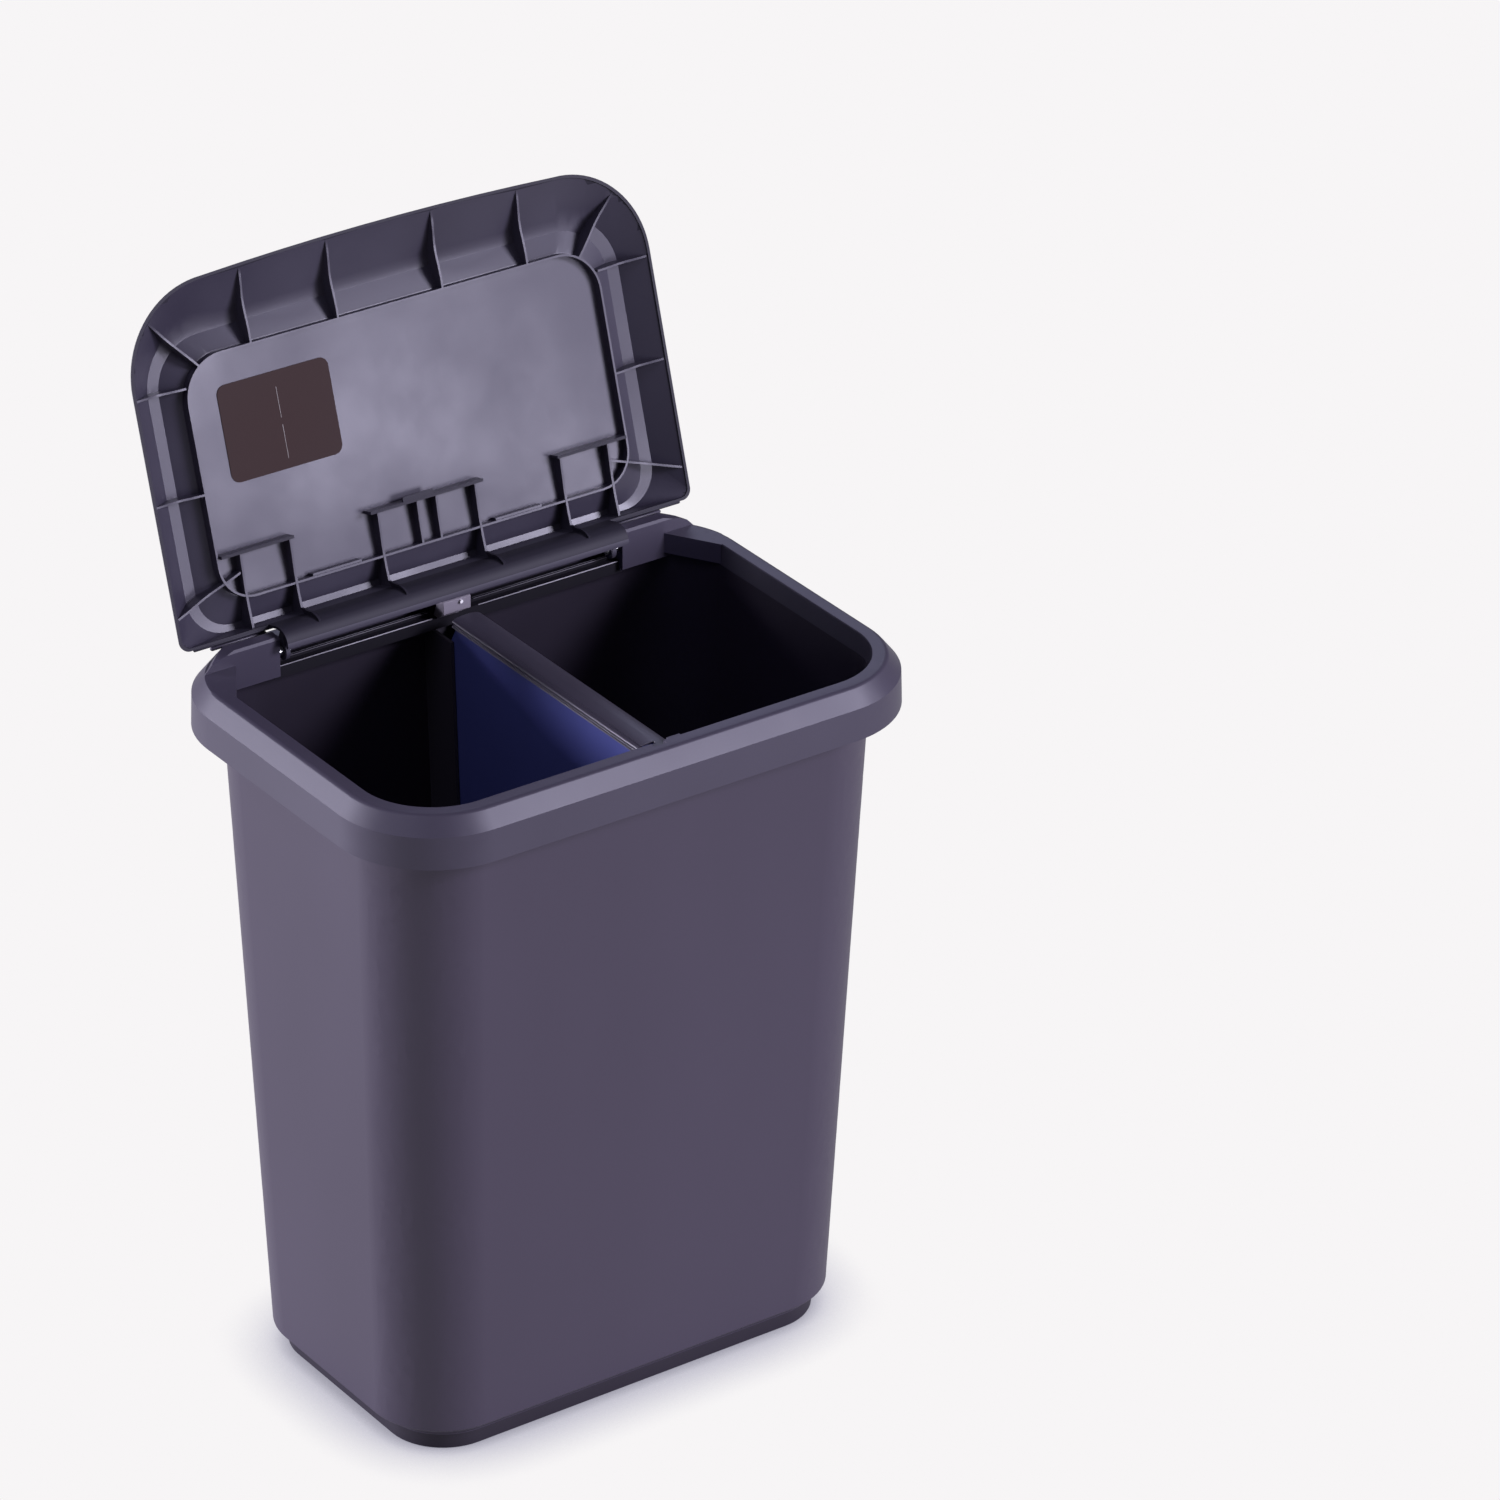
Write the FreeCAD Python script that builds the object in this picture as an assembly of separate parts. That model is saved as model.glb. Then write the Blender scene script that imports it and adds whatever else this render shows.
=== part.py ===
import FreeCAD, Part
import math
import os

from FreeCAD import Vector as V

# Double recycling bin: a tapered tub with a snap-over top frame, a lid on two
# hinge pins and a lift-out divider that makes two compartments.
# Millimetres. X across the width, -Y the front, +Z up, origin at the centre of
# the footprint on the floor. The lid is modelled open, as it stands at rest.

# ---------------------------------------------------------------- dimensions
# tub
FOOT_A, FOOT_B, FOOT_R = 181.0, 108.5, 45.0      # foot print, half width, half depth, corner radius
FOOT_H = 13.0                                    # height of the recessed foot
LOW_Z, LOW_A, LOW_B, LOW_R = 21.0, 193.5, 118.5, 58.0
TOP_Z, TOP_A, TOP_B, TOP_R = 530.0, 211.4, 141.5, 64.5
WALL = 2.4
FLOOR = 3.0
FLANGE_A, FLANGE_B, FLANGE_R = 224.0, 155.0, 74.0
FLANGE_T, FLANGE_DROP = 2.5, 10.5

# top frame, stations measured inwards from the outer edge of the skirt
RIM_A, RIM_B, RIM_R = 230.0, 163.0, 78.0
SKIRT_Z, BEVEL_Z, DECK_Z = 509.6, 534.2, 547.0
RIM_SECTION = [(0.0, SKIRT_Z), (0.8, BEVEL_Z), (10.5, 546.4), (13.0, DECK_Z), (21.4, DECK_Z), (22.0, 546.2),
               (22.6, TOP_Z + 0.4), (20.0, TOP_Z + 0.4), (19.4, 544.6), (11.6, 544.0), (3.3, 533.0), (2.5, SKIRT_Z)]

# hinge line
HY, HZ = 126.7, 543.7                            # axis of the hinge, along X
OPEN_DEG = 107.0                                 # lid angle at its open stop
PIN_R = 3.5
PIN_IN, PIN_OUT = 136.5, 157.0                   # ends of each pin, from the middle
PIN_RUN = 0.08                                   # radial running clearance in the lid

# hinge housings at the two rear corners of the frame
TOWER_IN, TOWER_Y = 147.0, 120.0
TOWER_TOP = 558.6
TOWER_YZ = [(120.0, 527.5), (120.0, 556.8), (121.6, TOWER_TOP), (130.5, TOWER_TOP), (133.5, 557.2),
            (146.5, 546.0), (146.5, 541.0), (142.8, 541.0), (142.8, 527.5)]
TOWER_XZ = [(147.0, 520.0), (147.0, 558.6), (184.0, 558.6), (197.0, 555.4), (208.0, 550.6), (215.5, 546.8),
            (216.0, 545.0), (205.5, 527.5), (200.0, 520.0)]
TW = 2.4
GUSSET_XY = [(183.6, 121.2), (183.6, 120.0), (207.4, 81.7), (209.0, 81.7), (209.0, 85.0), (207.1, 99.8),
             (201.4, 113.5), (195.7, 121.2)]
GUSSET_IN = [(187.3, 118.6), (205.9, 88.6), (206.8, 90.0), (205.9, 97.5), (200.5, 111.5), (195.7, 118.6)]

# lid, in its own section coordinates: u across, v from behind the hinge to the
# front edge, w above the plane of the free edge; v and w carry over to
# y = LID_V0 - v and z = LID_Z0 + w with the lid shut
LID_V0, LID_Z0 = 206.0, 547.3
LID_OUT = [  # half width, rear v, front v, front radius, rear radius, arch, w
    (219.0, 97.2, 354.5, 70.0, 8.0, 4.0, 0.0),
    (218.6, 97.2, 354.1, 69.8, 8.0, 4.0, 1.6),
    (200.8, 97.2, 322.3, 47.0, 30.0, 3.0, 17.8),
    (190.0, 103.2, 311.4, 38.5, 24.5, 2.0, 19.0),
    (176.0, 120.2, 298.0, 33.0, 27.2, 0.0, 12.7),
]
LID_IN = [
    (216.9, 99.2, 352.4, 68.5, 7.0, 4.0, -0.5),
    (216.6, 99.2, 352.0, 68.2, 7.0, 4.0, 0.8),
    (199.6, 99.2, 321.0, 46.0, 29.0, 3.0, 15.6),
    (190.4, 103.6, 311.8, 38.8, 24.8, 2.0, 16.8),
    (176.6, 119.6, 298.6, 33.6, 27.8, 0.0, 10.5),
]
FENCE_A, FENCE_V0, FENCE_V1, FENCE_RF, FENCE_RR = 175.6, 120.8, 297.9, 33.0, 27.0
FENCE_T, FENCE_W = 1.6, 3.8
RIB_T = 1.6
RIB_W = 2.2
FIN_T = 1.8
FINS_LONG = (157.0, 115.5, 41.5)                 # fins to the rear wall, both sides
FIN_SHORT = 8.0                                  # pair at the middle, as far as the fence
BARREL_X = 146.0
# hooked section below the rear wall, (y, z) with the lid shut: inner side, then back along the outer side
BARREL_YZ = [(106.8, 549.5), (106.85, 541.5), (106.95, 537.5), (107.35, 535.1), (108.1, 532.7), (109.2, 530.5),
             (110.6, 528.5), (112.3, 526.9), (114.3, 525.7), (116.5, 525.0), (118.8, 524.7), (121.1, 524.9),
             (123.0, 525.6), (122.5, 527.5), (120.8, 526.9), (118.8, 526.7), (116.9, 527.0), (115.1, 527.6),
             (113.5, 528.5), (112.1, 529.9), (110.9, 531.6), (110.0, 533.5), (109.3, 535.6), (108.95, 537.7),
             (108.85, 541.5), (108.8, 549.5)]

# divider
BAR_X, BAR_Y0, BAR_Y1, BAR_Z0, BAR_Z1 = 12.5, -138.6, 103.9, 534.4, 541.4
BAR_T = 2.0
DIV_X, DIV_T = 10.4, 2.0
DIV_TOP = 539.3
DIV_LOW = 3.4
SLOPE = (TOP_B - LOW_B) / (TOP_Z - LOW_Z)        # lean of the front and rear walls
GUIDE_X0, GUIDE_X1 = 11.0, 13.6
GUIDE_TOP, GUIDE_LOW = 522.0, 26.0

# label plate on the lid
LABEL_U0, LABEL_U1, LABEL_V0, LABEL_V1 = -148.2, -55.6, 201.6, 272.6
LABEL_R, LABEL_T = 7.0, 0.5

os.makedirs("parts", exist_ok=True)


# ------------------------------------------------------------------- helpers
def ring(a, y0, y1, rf, rr, z, arch=0.0):
    """Closed wire: a rectangle with round corners; rf at y0, rr at y1."""
    k = math.sqrt(0.5)

    def arc(cx, cy, r, a0):
        p = [V(cx + r * math.cos(math.radians(t)), cy + r * math.sin(math.radians(t)), z)
             for t in (a0, a0 + 45, a0 + 90)]
        return Part.Arc(p[0], p[1], p[2]).toShape()

    edges = []
    p0, p1 = V(-a + rf, y0, z), V(a - rf, y0, z)
    if arch:
        edges.append(Part.Arc(p0, V(0, y0 - arch, z), p1).toShape())
    else:
        edges.append(Part.LineSegment(p0, p1).toShape())
    edges.append(arc(a - rf, y0 + rf, rf, -90))
    edges.append(Part.LineSegment(V(a, y0 + rf, z), V(a, y1 - rr, z)).toShape())
    edges.append(arc(a - rr, y1 - rr, rr, 0))
    edges.append(Part.LineSegment(V(a - rr, y1, z), V(-a + rr, y1, z)).toShape())
    edges.append(arc(-a + rr, y1 - rr, rr, 90))
    edges.append(Part.LineSegment(V(-a, y1 - rr, z), V(-a, y0 + rf, z)).toShape())
    edges.append(arc(-a + rf, y0 + rf, rf, 180))
    return Part.Wire(edges)


def loft(rings):
    return Part.makeLoft(rings, True, True)


def sym(a, b, r, z):
    return ring(a, -b, b, r, r, z)


def rim(section):
    """Ring of one section round the frame: straight sides and quarter turns."""
    xc, yc = RIM_A - RIM_R, RIM_B - RIM_R
    out = []
    for sx, sy in ((1, 1), (-1, 1), (-1, -1), (1, -1)):
        pts = [V(sx * (RIM_A - d), sy * yc, z) for d, z in section]
        face = Part.Face(Part.makePolygon(pts + pts[:1]))
        out.append(face.revolve(V(sx * xc, sy * yc, 0), V(0, 0, 1), 90 * sx * sy))
    for sx in (1, -1):
        pts = [V(sx * (RIM_A - d), -yc, z) for d, z in section]
        out.append(Part.Face(Part.makePolygon(pts + pts[:1])).extrude(V(0, 2 * yc, 0)))
    for sy in (1, -1):
        pts = [V(-xc, sy * (RIM_B - d), z) for d, z in section]
        out.append(Part.Face(Part.makePolygon(pts + pts[:1])).extrude(V(2 * xc, 0, 0)))
    return fuse(out[0], out[1:])


def lid_ring(s):
    a, v0, v1, rf, rr, arch, w = s
    return ring(a, LID_V0 - v1, LID_V0 - v0, rf, rr, LID_Z0 + w, arch)


def box(x0, x1, y0, y1, z0, z1):
    return Part.makeBox(x1 - x0, y1 - y0, z1 - z0, V(x0, y0, z0))


def prism_yz(pts, x0, x1):
    w = Part.makePolygon([V(x0, y, z) for y, z in pts + pts[:1]])
    return Part.Face(w).extrude(V(x1 - x0, 0, 0))


def prism_xz(pts, y0, y1):
    w = Part.makePolygon([V(x, y0, z) for x, z in pts + pts[:1]])
    return Part.Face(w).extrude(V(0, y1 - y0, 0))


def prism_xy(pts, z0, z1):
    w = Part.makePolygon([V(x, y, z0) for x, y in pts + pts[:1]])
    return Part.Face(w).extrude(V(0, 0, z1 - z0))


def cyl_x(y, z, r, x0, x1):
    return Part.makeCylinder(r, x1 - x0, V(x0, y, z), V(1, 0, 0))


def mirror_x(s):
    return s.mirror(V(0, 0, 0), V(1, 0, 0))


def both(s):
    return [s, mirror_x(s)]


def fuse(first, rest):
    out = first.fuse(list(rest))
    return out.removeSplitter()


def open_lid(s):
    t = s.copy()
    t.rotate(V(0, HY, HZ), V(1, 0, 0), -OPEN_DEG)
    return t


def save(name, shape):
    solids = shape.Solids
    out = solids[0] if len(solids) == 1 else Part.makeCompound(solids)
    out.exportStep("parts/%s.step" % name)
    b = out.BoundBox
    print("%-16s solids %d valid %s vol %.1f cm3  x %.1f..%.1f y %.1f..%.1f z %.1f..%.1f" % (
        name, len(solids), all(s.isValid() for s in solids), out.Volume / 1000.0,
        b.XMin, b.XMax, b.YMin, b.YMax, b.ZMin, b.ZMax))
    return out


# ----------------------------------------------------------------------- tub
outer = loft([sym(FOOT_A, FOOT_B, FOOT_R, 0.0), sym(FOOT_A + 1.0, FOOT_B + 1.0, FOOT_R + 1.0, FOOT_H),
              sym(LOW_A, LOW_B, LOW_R, LOW_Z), sym(TOP_A, TOP_B, TOP_R, TOP_Z)])
inner = loft([sym(FOOT_A - WALL, FOOT_B - WALL, FOOT_R - WALL, FLOOR),
              sym(FOOT_A + 1.0 - WALL, FOOT_B + 1.0 - WALL, FOOT_R + 1.0 - WALL, FOOT_H + 0.8),
              sym(LOW_A - WALL, LOW_B - WALL, LOW_R - WALL, LOW_Z + 0.8),
              sym(TOP_A - WALL, TOP_B - WALL, TOP_R - WALL, TOP_Z),
              sym(TOP_A - WALL, TOP_B - WALL, TOP_R - WALL, TOP_Z + 2.0)])
flange = loft([sym(FLANGE_A, FLANGE_B, FLANGE_R, TOP_Z - FLANGE_DROP), sym(FLANGE_A, FLANGE_B, FLANGE_R, TOP_Z)])
under = loft([sym(FLANGE_A - 2.0, FLANGE_B - 2.0, FLANGE_R - 2.0, TOP_Z - FLANGE_DROP - 1.0),
              sym(FLANGE_A - 2.0, FLANGE_B - 2.0, FLANGE_R - 2.0, TOP_Z - FLANGE_T)])
tub = fuse(outer, [flange.cut(under)]).cut(inner)
save("tub", tub)


# wall position of the inner front and rear faces at a height
def wall_y(z):
    return LOW_B - WALL + SLOPE * (z - LOW_Z - 0.8) * (TOP_Z - LOW_Z) / (TOP_Z - LOW_Z - 0.8)


def guide(sign, depth, web):
    # upright channel against the front (-1) or rear (+1) wall; its two cheeks
    # run either side of the divider
    def line(off):
        return [(sign * (wall_y(z) - off), z) for z in (GUIDE_LOW, GUIDE_TOP)]
    back, mid, front = line(0.06), line(web), line(depth)
    body = prism_yz([back[0], front[0], front[1], back[1]], -GUIDE_X1, GUIDE_X1)
    core = line(depth + 2.0)
    slot = prism_yz([(mid[0][0] - sign * SLOPE * 2.0, GUIDE_LOW - 2.0 * 1.0),
                     (core[0][0] - sign * SLOPE * 2.0, GUIDE_LOW - 2.0),
                     (core[1][0] + sign * SLOPE * 2.0, GUIDE_TOP + 2.0),
                     (mid[1][0] + sign * SLOPE * 2.0, GUIDE_TOP + 2.0)], -GUIDE_X0, GUIDE_X0)
    return body.cut(slot)


save("rear_guide", guide(1, 35.0, 2.4))
save("front_guide", guide(-1, 9.0, 1.2))

# ----------------------------------------------------------------- top frame
frame = rim(RIM_SECTION)
# room for the top of the tub and its flange
tub_top = loft([sym(FLANGE_A + 0.5, FLANGE_B + 0.5, FLANGE_R + 0.5, 490.0),
                sym(FLANGE_A + 0.5, FLANGE_B + 0.5, FLANGE_R + 0.5, TOP_Z + 0.4)])
tub_mouth = loft([sym(TOP_A - WALL - 1.2, TOP_B - WALL - 1.2, TOP_R - WALL - 1.2, 480.0),
                  sym(TOP_A - WALL - 1.2, TOP_B - WALL - 1.2, TOP_R - WALL - 1.2, 540.0)])
keep_out = tub_top.cut(tub_mouth)

# hinge housings: hollow boxes closed at the front, top, rear and inner end
inner_yz = [(120.0 + TW, 520.0), (120.0 + TW, 555.8), (122.6, TOWER_TOP - TW), (130.0, TOWER_TOP - TW),
            (132.6, 555.0), (142.0, 546.6), (144.2, 543.4), (140.6, 541.0), (140.6, 520.0)]
inner_xz = [(147.0 + TW, 515.0), (147.0 + TW, 556.2), (183.4, 556.2), (196.0, 553.2), (206.5, 548.6), (212.0, 545.6),
            (202.6, 527.5), (197.0, 515.0)]
tower = prism_yz(TOWER_YZ, 140.0, 220.0).common(prism_xz(TOWER_XZ, 110.0, 150.0))
cavity = prism_yz(inner_yz, 140.0, 220.0).common(prism_xz(inner_xz, 110.0, 150.0))
boss = cyl_x(HY, HZ, 6.6, TOWER_IN, PIN_OUT + 2.0)
bore = cyl_x(HY, HZ, PIN_R, TOWER_IN - 1.0, PIN_OUT)
limit = loft([sym(RIM_A - d, RIM_B - d, RIM_R - d, z) for d, z in ((0.0, 505.0), (0.8, BEVEL_Z), (10.5, 546.4), (21.5, 560.2))])
tower = tower.common(limit).cut(cavity).fuse(boss).cut(bore)

# shelf across the back, between the housings and under the hinge
shelf = box(-TOWER_IN - 2.0, TOWER_IN + 2.0, 124.6, 141.6, 530.9, 533.0)
step = box(-TOWER_IN - 2.0, TOWER_IN + 2.0, 130.8, 133.0, 532.0, 535.2)
drop = box(-TOWER_IN - 2.0, TOWER_IN + 2.0, 124.6, 126.6, 523.6, 533.0)
# stiffening bracket at the middle of the hinge line
bracket = prism_yz([(115.4, 538.6), (115.4, 548.0), (117.4, 549.6), (119.0, 549.6), (124.6, 545.5),
                    (129.0, 533.0), (124.6, 532.0)], -11.5, 11.5)
scoop = prism_yz([(117.8, 537.0), (117.8, 547.0), (118.6, 547.6), (123.4, 544.2), (126.6, 535.0), (122.0, 533.2)],
                 -9.3, 9.3)
bracket = bracket.cut(scoop)
frame = fuse(frame, [shelf, step, drop] + both(tower.cut(keep_out)))
# gussets that widen the deck in the two rear corners of the opening
gusset = prism_xy(GUSSET_XY, TOP_Z + 1.2, DECK_Z).cut(prism_xy(GUSSET_IN, TOP_Z, DECK_Z - TW))
frame = fuse(frame, both(gusset.cut(keep_out)))
# small stop beside the notch in the front lip, at the end of the divider bar
frame = frame.fuse(box(5.5, 16.5, -141.6, -139.1, 540.6, 546.6)).removeSplitter()
frame = frame.cut(box(-9.0, 2.0, -146.0, -137.0, 543.4, 549.0))
save("top_frame", frame)
bracket = bracket.cut(frame)
peg = Part.makeCylinder(1.3, 3.6, V(2.9, 113.9, 546.0), V(0, 1, 0))
save("rear_bracket", bracket.cut(peg))
save("bracket_pin", peg)

pin = cyl_x(HY, HZ, PIN_R, PIN_IN, PIN_OUT)
pin = pin.cut(cyl_x(HY, HZ, 1.4, PIN_IN - 1.0, PIN_IN + 9.0))
pin_r = save("hinge_pin_right", pin)
pin_l = save("hinge_pin_left", mirror_x(pin))

# ----------------------------------------------------------------------- lid
lid_o = loft([lid_ring(s) for s in LID_OUT])
lid_i = loft([lid_ring(s) for s in LID_IN])
shell = lid_o.cut(lid_i)


def lid_box(u0, u1, v0, v1, w0, w1):
    return box(u0, u1, LID_V0 - v1, LID_V0 - v0, LID_Z0 + w0, LID_Z0 + w1)


def slab(p, q, t, w0, w1):
    # upright plate between two (u, v) points
    dx, dy = q[0] - p[0], q[1] - p[1]
    n = math.hypot(dx, dy)
    ox, oy = -dy / n * t / 2.0, dx / n * t / 2.0
    pts = [(p[0] + ox, p[1] + oy), (q[0] + ox, q[1] + oy), (q[0] - ox, q[1] - oy), (p[0] - ox, p[1] - oy)]
    return prism_xy([(x, LID_V0 - y) for x, y in pts], LID_Z0 + w0, LID_Z0 + w1)


fence_o = loft([ring(FENCE_A, LID_V0 - FENCE_V1, LID_V0 - FENCE_V0, FENCE_RF, FENCE_RR, LID_Z0 + w) for w in (FENCE_W, 11.2)])
fence_i = loft([ring(FENCE_A - FENCE_T, LID_V0 - FENCE_V1 + FENCE_T, LID_V0 - FENCE_V0 - FENCE_T,
                     FENCE_RF - FENCE_T, FENCE_RR - FENCE_T, LID_Z0 + w) for w in (FENCE_W - 1.0, 12.0)])
fence = fence_o.cut(fence_i)

def web(p, q, t, edge):
    # upright plate from (u, v) point p to q whose free edge follows (0..1, w) points
    n = math.hypot(q[0] - p[0], q[1] - p[1])
    ax = V((q[0] - p[0]) / n, -(q[1] - p[1]) / n, 0)
    side_dir = V(-ax.y, ax.x, 0)
    start = V(p[0], LID_V0 - p[1], LID_Z0) - side_dir * (t / 2.0)
    pts = [start + ax * (n * k) + V(0, 0, w) for k, w in edge]
    pts += [start + ax * n + V(0, 0, 20.0), start + V(0, 0, 20.0)]
    return Part.Face(Part.makePolygon(pts + pts[:1])).extrude(side_dir * t)


WAVE = [(0.0, 3.8), (0.12, 3.5), (0.25, 4.0), (0.40, 5.0), (0.52, 4.7), (0.64, 3.2), (0.78, 1.8), (0.90, 1.1), (1.0, 1.0)]
ribs = []
for u in (44.3, 117.2):
    ribs += both(web((u, 297.0), (u, 362.0), RIB_T, WAVE))
ribs += both(web((160.6, 291.0), (206.0, 342.0), RIB_T, WAVE))
for v in (279.5, 202.5):
    ribs += both(web((174.6, v - 1.0), (222.0, v + 0.5), RIB_T, WAVE))
ribs += both(web((157.0, 141.0), (222.0, 119.0), RIB_T, WAVE))
LEG = [(0.0, 2.6), (0.1, 2.8), (0.3, 3.6), (0.55, 3.6), (0.8, 2.4), (1.0, 1.6)]
fins = []
for u in FINS_LONG:
    fins += both(web((u, 96.0), (u, 155.0), FIN_T, LEG))
fins += both(web((FIN_SHORT, 121.0), (FIN_SHORT, 155.0), FIN_T, [(0.0, 3.8), (0.5, 3.0), (1.0, 1.6)]))
bars = []
bars += both(slab((112.6, 155.0), (173.0, 155.0), 2.2, 0.8, 20.0))
bars.append(slab((-48.0, 155.0), (48.0, 155.0), 2.2, 0.8, 20.0))
# small raised plate on the middle bar, and the thicker lugs on the rear fence
bars.append(lid_box(-20.0, 6.0, 155.0, 159.4, 1.0, 3.0))
bars.append(lid_box(-101.0, -60.0, 121.4, 124.2, 4.6, 20.0))
bars.append(lid_box(55.0, 95.0, 121.4, 124.2, 4.6, 20.0))
webs = [s.common(lid_i) for s in ribs + fins + bars]

# hooked barrel below the rear wall, round the hinge line
barrel = prism_yz(BARREL_YZ, -BARREL_X, BARREL_X)


def feet():
    # the long inner fins run on over the barrel as small hooked feet
    out = []
    for u in (115.5, 41.5):
        pts = [(107.4, 550.4), (102.7, 550.2), (103.0, 546.4), (103.9, 543.0), (104.2, 540.0), (104.3, 536.6),
               (105.3, 533.4), (107.0, 530.2), (109.3, 527.6), (111.4, 528.4), (109.4, 531.2), (108.1, 534.6), (107.6, 540.0)]
        out += both(prism_yz(pts, u - FIN_T / 2, u + FIN_T / 2))
    return out


def knuckle():
    # end web with the bore for the pin
    pts = [(HY, HZ + 7.0), (HY - 7.0, HZ + 3.0)] + [(y + 0.9, z + 0.4) for y, z in BARREL_YZ[2:10]] + [(HY - 3.0, HZ - 6.3)]
    web_yz = prism_yz(pts, 138.4, 141.6).fuse(cyl_x(HY, HZ, 7.0, 138.4, 141.6))
    return web_yz.cut(cyl_x(HY, HZ, PIN_R + PIN_RUN, 130.0, 150.0))


lid = fuse(shell, [fence] + webs + [barrel] + feet() + both(knuckle()))
save("lid", open_lid(lid))

lab = ring((LABEL_U1 - LABEL_U0) / 2.0, -(LABEL_V1 - LABEL_V0) / 2.0, (LABEL_V1 - LABEL_V0) / 2.0, LABEL_R, LABEL_R, 0.0)
label = Part.Face(lab).extrude(V(0, 0, LABEL_T))
label.translate(V((LABEL_U0 + LABEL_U1) / 2.0, LID_V0 - (LABEL_V0 + LABEL_V1) / 2.0, LID_Z0 + 10.5 - LABEL_T))
save("lid_label", open_lid(label))

# ------------------------------------------------------------------- divider
crown = [(11.5, -6.0), (11.5, -4.6), (12.2, -4.0), (12.2, -3.0), (11.3, -2.0), (9.6, -1.25), (7.2, -0.65), (4.0, -0.2), (0.0, 0.0)]
crown_all = [(-x, BAR_Z1 + d) for x, d in crown] + [(x, BAR_Z1 + d) for x, d in crown[-2::-1]]
bar = prism_xz([(-BAR_X, BAR_Z0), (-BAR_X, BAR_Z0 + 0.8)] + crown_all + [(BAR_X, BAR_Z0 + 0.8), (BAR_X, BAR_Z0)], BAR_Y0, BAR_Y1)
bar = bar.cut(box(-BAR_X + BAR_T, BAR_X - BAR_T, BAR_Y0 + BAR_T, BAR_Y1 - BAR_T, BAR_Z0 - 1.0, BAR_Z1 - BAR_T - 0.02))
# small slot through the crown near its front end
bar = bar.cut(box(-9.4, 0.6, -133.2, -129.8, 538.0, BAR_Z1 + 1.0))
save("divider_bar", bar)


def side(off):
    r = -off
    low = DIV_LOW - (0.0 if off == 0 else 2.0)
    return [(-135.0 - r, DIV_TOP - off), (101.8 + r, DIV_TOP - off), (101.8 + r, 533.0), (107.8 + r, 522.0),
            (107.8 - SLOPE * (522.0 - DIV_LOW) + r, low),
            (-102.0 - r, low), (-110.9 - r, 22.0), (-135.0 - r, 527.0)]


panel = prism_yz(side(0.0), -DIV_X, DIV_X)
void = prism_yz(side(DIV_T), -DIV_X + DIV_T, DIV_X - DIV_T)
save("divider_panel", panel.cut(void))
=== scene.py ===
import math

import bmesh
import bpy
from mathutils import Matrix, Vector


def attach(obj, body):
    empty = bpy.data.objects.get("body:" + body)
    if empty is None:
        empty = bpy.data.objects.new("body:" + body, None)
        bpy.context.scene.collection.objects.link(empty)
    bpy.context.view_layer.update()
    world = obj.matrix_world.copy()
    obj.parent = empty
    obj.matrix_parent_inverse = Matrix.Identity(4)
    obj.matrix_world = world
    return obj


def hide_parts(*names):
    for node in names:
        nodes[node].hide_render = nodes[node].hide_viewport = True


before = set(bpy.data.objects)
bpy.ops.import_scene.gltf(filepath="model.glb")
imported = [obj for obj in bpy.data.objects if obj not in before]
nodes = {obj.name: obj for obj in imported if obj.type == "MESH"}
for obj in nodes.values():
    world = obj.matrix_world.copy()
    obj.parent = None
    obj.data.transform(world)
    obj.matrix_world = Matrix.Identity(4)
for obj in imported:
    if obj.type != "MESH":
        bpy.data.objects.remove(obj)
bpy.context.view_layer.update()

MM = 0.001


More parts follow.
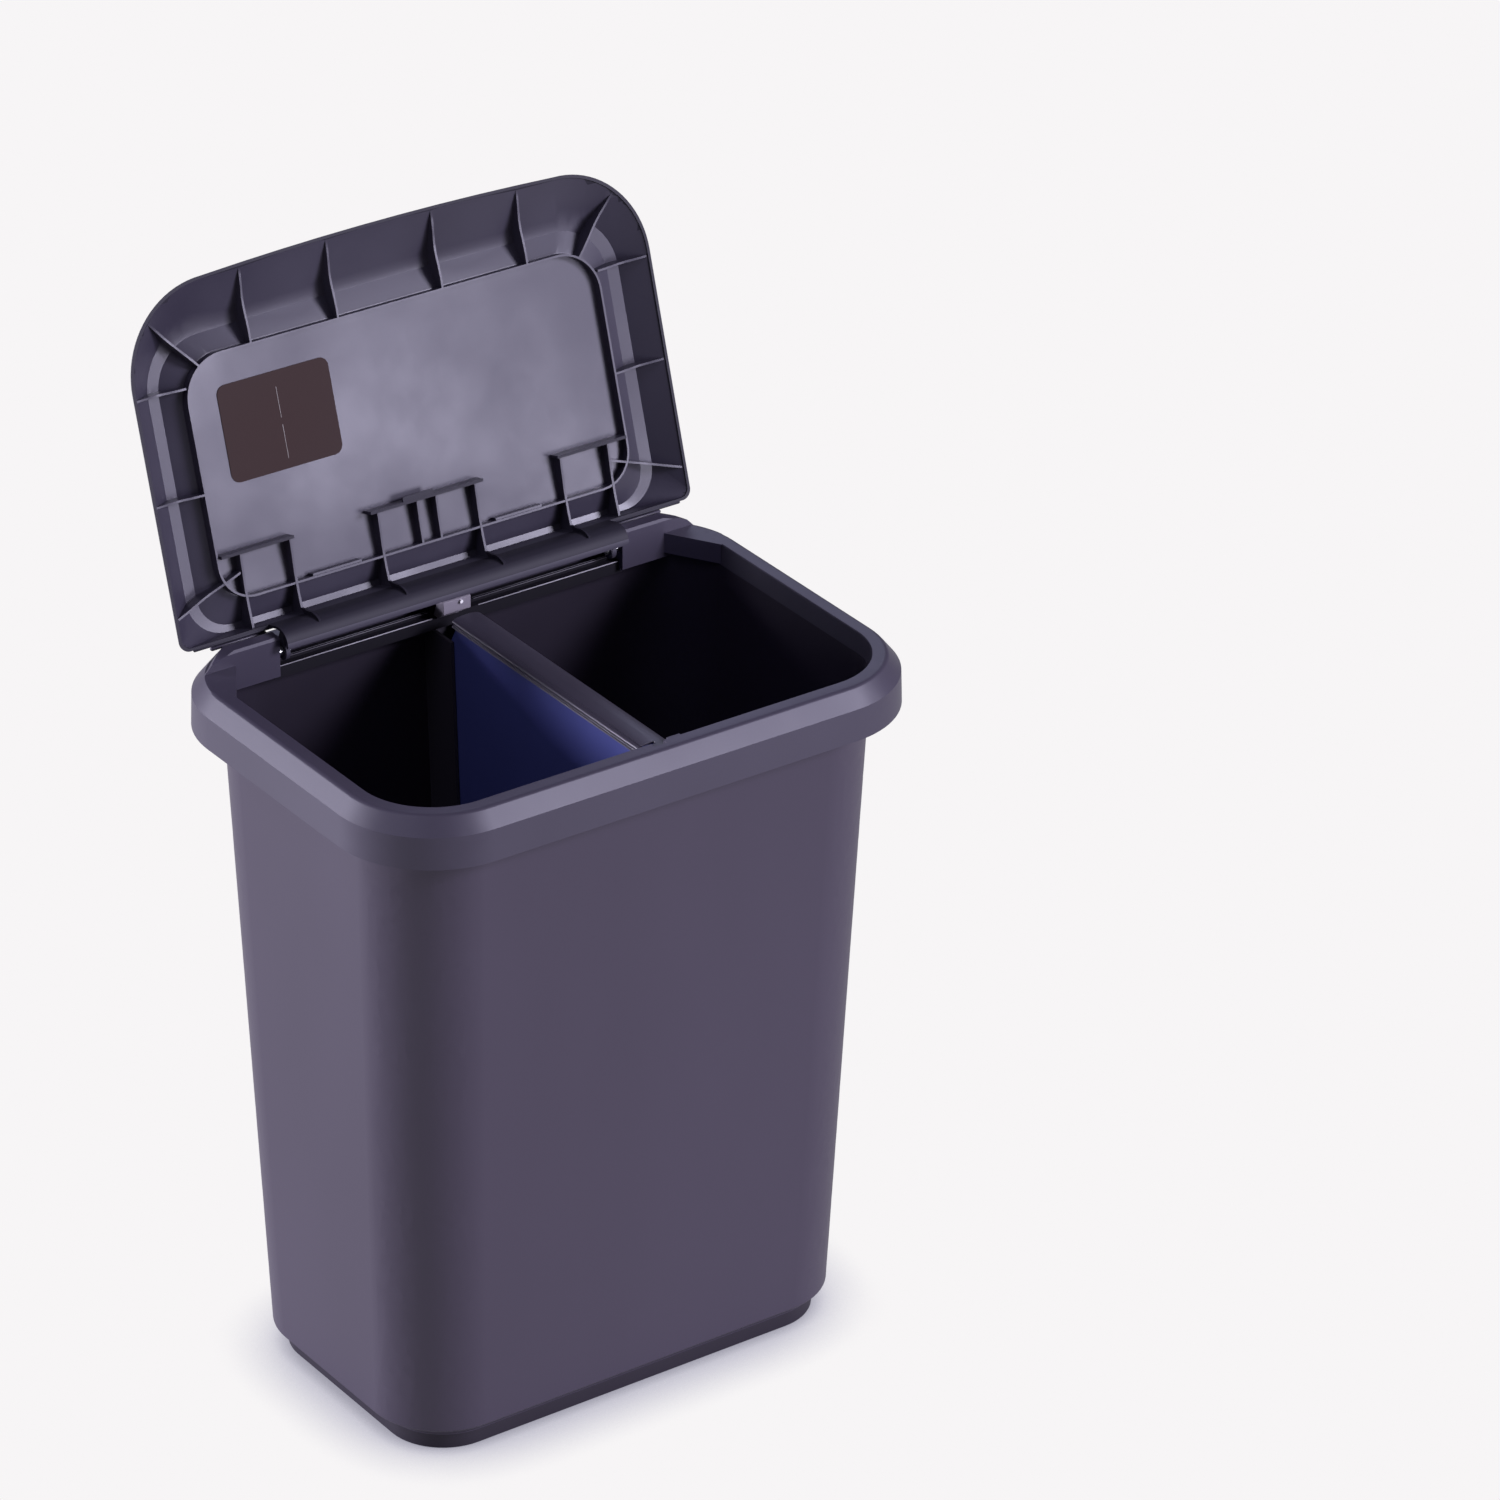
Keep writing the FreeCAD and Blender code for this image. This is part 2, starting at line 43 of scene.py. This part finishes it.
# ------------------------------------------------------------------ materials
class Nodes:
    """Small helper round one material's node tree."""

    def __init__(self, name):
        self.mat = bpy.data.materials.new(name)
        self.mat.use_nodes = True
        self.t = self.mat.node_tree
        self.t.nodes.clear()
        self.out = self.n("ShaderNodeOutputMaterial")
        self.bsdf = self.n("ShaderNodeBsdfPrincipled")
        self.t.links.new(self.bsdf.outputs[0], self.out.inputs[0])
        self.co = self.n("ShaderNodeTexCoord").outputs["Object"]

    def n(self, kind, **props):
        node = self.t.nodes.new(kind)
        for k, v in props.items():
            setattr(node, k, v)
        return node

    def link(self, a, b):
        self.t.links.new(a, b)

    def noise(self, scale, detail=3.0, rough=0.5, stretch=None, co=None):
        tex = self.n("ShaderNodeTexNoise")
        tex.inputs["Scale"].default_value = scale
        tex.inputs["Detail"].default_value = detail
        tex.inputs["Roughness"].default_value = rough
        src = co or self.co
        if stretch:
            mp = self.n("ShaderNodeMapping")
            mp.inputs["Scale"].default_value = stretch
            self.link(src, mp.inputs["Vector"])
            src = mp.outputs[0]
        self.link(src, tex.inputs["Vector"])
        return tex.outputs["Fac"]

    def ramp(self, fac, stops):
        r = self.n("ShaderNodeValToRGB")
        e = r.color_ramp.elements
        while len(e) < len(stops):
            e.new(0.5)
        for i, (p, c) in enumerate(stops):
            e[i].position = p
            e[i].color = (*c, 1.0) if len(c) == 3 else c
        self.link(fac, r.inputs[0])
        return r.outputs["Color"]

    def span(self, fac, a0, a1, b0, b1):
        m = self.n("ShaderNodeMapRange")
        for i, v in enumerate((a0, a1, b0, b1)):
            m.inputs[i + 1].default_value = v
        self.link(fac, m.inputs[0])
        return m.outputs[0]

    def math(self, op, a, b=0.5):
        m = self.n("ShaderNodeMath", operation=op)
        for i, v in enumerate((a, b)):
            if isinstance(v, (int, float)):
                m.inputs[i].default_value = v
            else:
                self.link(v, m.inputs[i])
        return m.outputs[0]

    def mix(self, fac, a, b):
        m = self.n("ShaderNodeMix", data_type="RGBA")
        for key, v in ((0, fac), (6, a), (7, b)):
            if isinstance(v, (int, float)):
                m.inputs[key].default_value = v
            elif isinstance(v, tuple):
                m.inputs[key].default_value = (*v, 1.0)
            else:
                self.link(v, m.inputs[key])
        return m.outputs[2]

    def bump(self, height, strength, distance, below=None):
        b = self.n("ShaderNodeBump")
        b.inputs["Strength"].default_value = strength
        b.inputs["Distance"].default_value = distance
        self.link(height, b.inputs["Height"])
        if below is not None:
            self.link(below, b.inputs["Normal"])
        return b.outputs["Normal"]


def plastic(name, colour, rough=0.42, mottle=0.06, grain=1.0, cloud=6.0, streak=None, edge=0.0, ior=1.51,
            patchy=0.035):
    """Moulded plastic: fine spark-eroded grain, faint flow clouds, and a painted highlight on sharp edges."""
    m = Nodes(name)
    fine = m.noise(2600.0, 2.0, 0.6)
    mid = m.noise(240.0, 3.0, 0.55)
    wide = m.noise(cloud, 4.0, 0.55, stretch=streak)
    base = m.ramp(wide, [
        (0.30, tuple(c * (1.0 - mottle) for c in colour)),
        (0.70, tuple(min(1.0, c * (1.0 + mottle)) for c in colour))])
    speck = m.ramp(fine, [(0.35, (0.93, 0.93, 0.93)), (0.65, (1.06, 1.06, 1.06))])
    mul = m.n("ShaderNodeMix", data_type="RGBA", blend_type="MULTIPLY")
    mul.inputs[0].default_value = 1.0
    m.link(base, mul.inputs[6])
    m.link(speck, mul.inputs[7])
    col = mul.outputs[2]
    # painted highlight: the base colour is lightened along sharp edges (Pointiness)
    if edge:
        geo = m.n("ShaderNodeNewGeometry")
        sharp_edge_glint = m.span(geo.outputs["Pointiness"], 0.53, 0.62, 0.0, edge)
        col = m.mix(sharp_edge_glint, col, tuple(min(1.0, c * 1.9 + 0.02) for c in colour))
    m.link(col, m.bsdf.inputs["Base Color"])
    m.link(m.span(wide, 0.3, 0.7, rough - patchy, rough + patchy), m.bsdf.inputs["Roughness"])
    m.bsdf.inputs["IOR"].default_value = ior
    m.bsdf.inputs["Specular Tint"].default_value = (0.90, 0.88, 1.0, 1.0)
    low = m.bump(mid, 0.10 * grain, 0.00006)
    m.link(m.bump(fine, 0.22 * grain, 0.00004, below=low), m.bsdf.inputs["Normal"])
    return m.mat


def steel(name):
    m = Nodes(name)
    line = m.noise(900.0, 3.0, 0.6, stretch=(0.05, 1.0, 1.0))
    m.link(m.ramp(line, [(0.3, (0.50, 0.50, 0.52)), (0.7, (0.70, 0.70, 0.72))]), m.bsdf.inputs["Base Color"])
    m.bsdf.inputs["Metallic"].default_value = 1.0
    m.link(m.span(line, 0.3, 0.7, 0.22, 0.36), m.bsdf.inputs["Roughness"])
    m.link(m.bump(line, 0.25, 0.00004), m.bsdf.inputs["Normal"])
    return m.mat


TUB = (0.039, 0.0305, 0.055)
FRAME = (0.037, 0.031, 0.054)
LID = (0.031, 0.027, 0.046)
mats = {
    "tub": plastic("tub_satin", TUB, rough=0.46, mottle=0.05, cloud=5.0, streak=(1.0, 1.0, 0.35)),
    # painted shade: a much darker, rougher variant of the tub plastic for its inside
    "tub_inside_painted_shade": plastic("tub_inside_painted_shade", (0.012, 0.0085, 0.018), rough=0.62, mottle=0.08, cloud=7.0, ior=1.36),
    # painted shade: the recessed foot band is made darker than the tub
    "foot": plastic("foot_band_painted_shade", (0.018, 0.014, 0.024), rough=0.55, ior=1.42),
    # painted shade: a darker variant of the frame plastic for faces looking into the opening
    "frame_inside_painted_shade": plastic("frame_inside_painted_shade", (0.030, 0.026, 0.043), rough=0.58, mottle=0.05, ior=1.40),
    "guide": plastic("guide_satin", (0.030, 0.026, 0.038), rough=0.5),
    # painted shade: near-black colour for the shelf under the hinge
    "shelf_painted_shade": plastic("shelf_shaded", (0.007, 0.006, 0.010), rough=0.62, ior=1.30),
    "peg": plastic("bright_peg", (0.80, 0.78, 0.84), rough=0.35),
    # edge=0.12 paints a highlight along the frame's sharp edges
    "frame": plastic("frame_satin", FRAME, rough=0.46, mottle=0.05, edge=0.12),
    "lid": plastic("lid_satin", LID, rough=0.40, mottle=0.07, cloud=9.0, patchy=0.085),
    "lid_outer": plastic("lid_outer", LID, rough=0.44, mottle=0.05, patchy=0.02),
    "lid_edge": plastic("lid_edge", (0.016, 0.014, 0.024), rough=0.6, ior=1.36),
    "bracket": plastic("bracket_satin", (0.20, 0.18, 0.23), rough=0.38),
    # painted highlights: light materials for the slim beads that stand for bright edge lines
    "bead": plastic("painted_edge_highlight", (0.30, 0.285, 0.34), rough=0.40),
    "dim_painted_highlight": plastic("painted_edge_highlight_soft", (0.105, 0.098, 0.125), rough=0.42),
    "stroke": plastic("label_stroke", (0.33, 0.30, 0.31), rough=0.55, grain=0.3),
    "barrel": plastic("barrel_satin", (0.034, 0.030, 0.050), rough=0.62, mottle=0.05),
    # edge=0.2 paints a highlight along the bar's sharp edges
    "bar": plastic("bar_satin", (0.034, 0.029, 0.047), rough=0.40, edge=0.2),
    "panel": plastic("panel_navy", (0.062, 0.074, 0.27), rough=0.42, mottle=0.10, cloud=4.0),
    "steel": steel("drawn_steel"),
    "label": plastic("label_film", (0.030, 0.016, 0.016), rough=0.55, mottle=0.05, grain=0.3, ior=1.20),
}


def skin(node, key):
    o = nodes[node]
    o.data.materials.clear()
    o.data.materials.append(mats[key])


def finish_piece(name, bm, key, body, slot, *stands_for, smooth=True):
    me = bpy.data.meshes.new(name)
    bmesh.ops.recalc_face_normals(bm, faces=bm.faces)
    bm.to_mesh(me)
    bm.free()
    for p in me.polygons:
        p.use_smooth = smooth
    o = bpy.data.objects.new(name, me)
    bpy.context.scene.collection.objects.link(o)
    me.materials.append(mats[key])
    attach(o, body)
    if stands_for:
        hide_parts(*stands_for)
    return o


def eased(node, key, body, slot, width, sharp=24.0, segments=2, areas=(), broad=None, broad_width=0.0):
    """The moulded part with its edges eased, in place of the sharp construction node."""
    bm = bmesh.new()
    bm.from_mesh(nodes[node].data)
    bmesh.ops.remove_doubles(bm, verts=bm.verts, dist=2e-6)
    bmesh.ops.dissolve_limit(bm, angle_limit=math.radians(0.6), verts=bm.verts, edges=bm.edges)
    if broad:
        wide = [e for e in bm.edges if e.is_manifold and e.calc_face_angle() > math.radians(sharp)
                and broad(e.verts[0].co / MM) and broad(e.verts[1].co / MM)]
        bmesh.ops.bevel(bm, geom=wide, offset=broad_width, offset_type="OFFSET", segments=4, profile=0.5,
                        affect="EDGES", clamp_overlap=True)
    edges = [e for e in bm.edges if e.is_manifold and e.calc_face_angle() > math.radians(sharp)]
    bmesh.ops.bevel(bm, geom=edges, offset=width, offset_type="OFFSET", segments=segments, profile=0.5,
                    affect="EDGES", clamp_overlap=True)
    bmesh.ops.triangulate(bm, faces=[f for f in bm.faces if len(f.verts) > 4])
    bmesh.ops.recalc_face_normals(bm, faces=bm.faces)
    for f in bm.faces:
        f.material_index = 0
        for i, (_, test) in enumerate(areas):
            if test(f.calc_center_median() / MM, f.normal):
                f.material_index = i + 1
    o = finish_piece(node + "_moulded", bm, key, body, slot, node)
    for other, _ in areas:
        o.data.materials.append(mats[other])
    mod = o.modifiers.new("weighted", "WEIGHTED_NORMAL")
    mod.keep_sharp = True
    mod.weight = 80
    return o


def inner_side(c, n):
    """A face of the tub that looks towards its middle, below the mouth; it gets the darker painted-shade inner
    material.
    """
    return (c.x * n.x / 190.0 + c.y * n.y / 120.0) < -0.2 or (n.z > 0.8 and c.z < 60.0)


def under_hinge(c, n):
    """The rear shelf under the hinge, painted near-black as shade."""
    return abs(c.x) < 146.0 and 120.0 < c.y < 150.0 and c.z < 536.0


def frame_lip(c, n):
    """The faces of the frame at and below the deck's inner edge that look inwards; they get a darker painted-shade
    material.
    """
    return c.z < 546.0 and (abs(c.x) > 149.0 or c.y < 0.0) and (c.x * n.x / 190.0 + c.y * n.y / 120.0) < -0.3 and c.y < 119.0 and not (c.x > 180.0 and c.y > 82.0)


def round_hinge(c, n):
    """The rolled barrel along the lid's rear edge."""
    return abs(c.x) < 146.5 and math.hypot(c.y - 126.7, c.z - 543.7) < 23.5


UNDERSIDE = Vector((0.0, -0.95630, 0.29237))      # the way the open lid's underside looks
EDGE_OUT = max(v.co.dot(UNDERSIDE) for v in nodes["lid"].data.vertices if v.co.z > 0.7) / MM


def free_edge(c, n):
    """The lid's free edge all round."""
    return c.z > 556.0 and c.dot(UNDERSIDE) > EDGE_OUT - 1.4


def outer_side(c, n):
    """The lid's outer side, uppermost when it is shut."""
    return n.dot(UNDERSIDE) < -0.3


def foot(c, n):
    """The recessed band round the foot, given a darker material as painted shade."""
    return c.z < 10.5 and not inner_side(c, n)


eased("tub", "tub", "tub", "tub_plastic", 0.0008, areas=(("tub_inside_painted_shade", inner_side), ("foot", foot)))
def rim_edge(p):
    """On the upper edge of the rim's bevel, clear of the hinge housings."""
    out = max(abs(p.x) - 152.0, 0.0), max(abs(p.y) - 85.0, 0.0)
    off = 78.0 - math.hypot(*out) if out[0] > 0.0 and out[1] > 0.0 else (230.0 - abs(p.x) if out[0] > 0.0 else 163.0 - abs(p.y))
    return p.y < 100.0 and abs(p.z - 546.4) < 0.4 and 9.6 < off < 11.4


eased("top_frame", "frame", "top_frame", "frame_plastic", 0.0006,
      areas=(("frame_inside_painted_shade", frame_lip), ("shelf_painted_shade", under_hinge)), broad=rim_edge, broad_width=0.0013)
eased("lid", "lid", "lid", "lid_plastic", 0.0003, areas=(("lid_outer", outer_side), ("barrel", round_hinge), ("lid_edge", free_edge)))
eased("divider_bar", "bar", "divider", "frame_plastic", 0.0006)
eased("divider_panel", "panel", "divider", "divider_plastic", 0.0007)
eased("rear_bracket", "bracket", "top_frame", "bracket_plastic", 0.0004)
for node, key in (("rear_guide", "guide"), ("front_guide", "guide"), ("bracket_pin", "peg"),
                  ("hinge_pin_left", "steel"), ("hinge_pin_right", "steel"), ("lid_label", "label")):
    skin(node, key)


def bead(name, a, b, radius, key, body, slot, sides=8):
    """A slim rounded bead from a to b, in millimetres, with domed ends."""
    a, b = Vector(a) * MM, Vector(b) * MM
    along = (b - a).normalized()
    side = along.cross(Vector((0.0, 0.0, 1.0)) if abs(along.z) < 0.9 else Vector((1.0, 0.0, 0.0))).normalized()
    other = along.cross(side)
    r = radius * MM
    bm = bmesh.new()
    rings = []
    for at, size in ((a, 0.55), (a + along * r * 0.6, 1.0), (b - along * r * 0.6, 1.0), (b, 0.55)):
        rings.append([bm.verts.new(at + (side * math.cos(2.0 * math.pi * i / sides)
                                         + other * math.sin(2.0 * math.pi * i / sides)) * r * size)
                      for i in range(sides)])
    for lo, hi in zip(rings, rings[1:]):
        for i in range(sides):
            bm.faces.new((lo[i], lo[(i + 1) % sides], hi[(i + 1) % sides], hi[i]))
    bm.faces.new(rings[0])
    bm.faces.new(rings[-1])
    return finish_piece(name, bm, key, body, slot)


# painted highlights: light beads along the edges of the shelf and the step under the hinge, left and right of the
# bracket
for i, (x0, x1) in enumerate(((-145.8, -15.5), (24.0, 145.8))):
    bead("shelf_edge_%d" % i, (x0, 124.6, 532.95), (x1, 124.6, 532.95), 0.42, "bead", "top_frame", "frame_plastic")
    bead("step_edge_%d" % i, (x0, 130.9, 535.15), (x1, 130.9, 535.15), 0.30, "dim_painted_highlight", "top_frame", "frame_plastic")
    bead("step_rear_edge_%d" % i, (x0, 132.9, 535.25), (x1, 132.9, 535.25), 0.22, "dim_painted_highlight", "top_frame", "frame_plastic")
# painted highlights: dimmer light beads along the lower edges of the divider bar
for i, x in enumerate((-12.5, 12.5)):
    bead("bar_edge_%d" % i, (x, -138.0, 534.75), (x, 103.3, 534.75), 0.62, "dim_painted_highlight", "divider", "frame_plastic")

# the rolled lip of the lid's rear edge, over each hinge housing
for i, (x0, x1) in enumerate(((-208.5, -141.0), (141.0, 208.5))):
    bead("lid_rear_lip_%d" % i, (x0, 136.0, 559.0), (x1, 136.0, 559.0), 1.15, "lid_edge", "lid", "lid_plastic")

# upstand behind each hinge housing, below the open lid's rear edge
for i, (x0, x1) in enumerate(((-193.0, -147.0), (147.0, 193.0))):
    bead("housing_upstand_%d" % i, (x0, 138.6, 554.7), (x1, 138.6, 554.7), 1.7, "frame", "top_frame", "frame_plastic")

# two plain dividing strokes on the label
tilt_v, tilt_n = Vector((0.0, 0.29237, 0.95630)), Vector((0.0, -0.95630, 0.29237))
film = [v.co for v in nodes["lid_label"].data.vertices]
face_n = max(p.dot(tilt_n) for p in film)
low_v, high_v = min(p.dot(tilt_v) for p in film), max(p.dot(tilt_v) for p in film)
for i, (f0, f1) in enumerate(((0.10, 0.45), (0.52, 0.84))):
    ends = [tilt_v * (low_v + (high_v - low_v) * f) + tilt_n * (face_n + 0.00001) + Vector((-0.1005, 0.0, 0.0)) for f in (f0, f1)]
    bead("label_stroke_%d" % i, ends[0] / MM, ends[1] / MM, 0.20, "stroke", "lid", "label_film")

# ---------------------------------------------------------------------- stage
FLOOR_GIVES = 0.62
floor_mat = Nodes("studio_floor")
paper = floor_mat.noise(30.0, 3.0, 0.5)
# painted contact shadow: ambient occlusion darkens the floor's colour near the bin
near = floor_mat.n("ShaderNodeAmbientOcclusion", samples=8)
near.inputs["Distance"].default_value = 0.07
path = floor_mat.n("ShaderNodeLightPath")
shade = floor_mat.ramp(near.outputs["AO"], [(0.22, (0.32, 0.32, 0.39)), (0.50, (0.64, 0.64, 0.72)), (0.84, (1.0, 1.0, 1.0))])
tone = floor_mat.ramp(paper, [(0.3, (0.9300, 0.9130, 0.9215)), (0.7, (0.9302, 0.9132, 0.9217))])
shadowed_floor_tone = floor_mat.n("ShaderNodeMix", data_type="RGBA", blend_type="MULTIPLY")
shadowed_floor_tone.inputs[0].default_value = 1.0
floor_mat.link(shade, shadowed_floor_tone.inputs[6])
floor_mat.link(tone, shadowed_floor_tone.inputs[7])
floor_mat.link(shadowed_floor_tone.outputs[2], floor_mat.bsdf.inputs["Emission Color"])
floor_mat.link(floor_mat.span(path.outputs["Is Camera Ray"], 0.0, 1.0, FLOOR_GIVES, 1.0),
               floor_mat.bsdf.inputs["Emission Strength"])
floor_mat.bsdf.inputs["Base Color"].default_value = (0.0, 0.0, 0.0, 1.0)
floor_mat.bsdf.inputs["Roughness"].default_value = 1.0
floor_mat.bsdf.inputs["Specular IOR Level"].default_value = 0.0
bm = bmesh.new()
bmesh.ops.create_grid(bm, x_segments=2, y_segments=2, size=14.0)
me = bpy.data.meshes.new("floor")
bm.to_mesh(me)
bm.free()
floor = bpy.data.objects.new("floor", me)
floor.location = (0.0, 0.0, -0.0004)
floor.data.materials.append(floor_mat.mat)
bpy.context.scene.collection.objects.link(floor)

world = bpy.data.worlds.new("studio")
bpy.context.scene.world = world
world.use_nodes = True
bg = world.node_tree.nodes["Background"]
bg.inputs[0].default_value = (0.96, 0.96, 1.0, 1.0)
bg.inputs[1].default_value = 0.15


def area(name, at, aim, size, power, colour=(1.0, 1.0, 1.0)):
    light = bpy.data.lights.new(name, "AREA")
    light.shape = "RECTANGLE"
    light.size, light.size_y = size
    light.energy = power
    light.color = colour
    o = bpy.data.objects.new(name, light)
    o.location = at
    o.rotation_euler = (Vector(aim) - Vector(at)).to_track_quat("-Z", "Y").to_euler()
    bpy.context.scene.collection.objects.link(o)
    return o


area("key", (5.4, -6.6, 4.9), (0.0, 0.0, 0.45), (2.6, 2.4), 900.0, (0.97, 0.95, 1.08))
area("back_left", (-6.0, 5.2, 1.25), (0.0, 0.0, 0.45), (3.0, 2.4), 1180.0, (0.97, 0.95, 1.08))
area("low_front", (3.7, -6.9, 1.15), (0.0, 0.0, 0.7), (3.0, 2.2), 260.0, (0.97, 0.95, 1.08))
area("top_left", (-4.2, -1.6, 7.0), (0.0, 0.0, 0.4), (3.0, 3.0), 80.0, (0.93, 0.92, 1.15))
area("back_right", (4.4, 6.4, 5.0), (0.0, 0.0, 0.5), (2.6, 2.2), 60.0, (0.86, 0.90, 1.25))

scene = bpy.context.scene
scene.view_settings.view_transform = "Standard"
scene.view_settings.look = "None"

# --------------------------------------------------------------------- camera
cam_data = bpy.data.cameras.new("camera")
cam_data.sensor_fit = "HORIZONTAL"
cam_data.sensor_width = 36.0
cam_data.lens = 7553.0 / 1500.0 * 36.0
cam_data.shift_x = 0.07223
cam_data.shift_y = -0.00284
cam_data.clip_start = 0.1
cam_data.clip_end = 100.0
cam = bpy.data.objects.new("camera", cam_data)
yaw, pitch, roll = math.radians(-34.66), math.radians(28.29), math.radians(0.08)
right = Vector((math.cos(yaw), math.sin(yaw), 0.0))
fwd = Vector((-math.sin(yaw) * math.cos(pitch), math.cos(yaw) * math.cos(pitch), -math.sin(pitch)))
up = right.cross(fwd)
turn = Matrix((right, up, -fwd)).transposed().to_4x4() @ Matrix.Rotation(roll, 4, "Z")
cam.matrix_world = Matrix.Translation((-2.6295, -3.9204, 3.0207)) @ turn
bpy.context.scene.collection.objects.link(cam)
bpy.context.scene.camera = cam
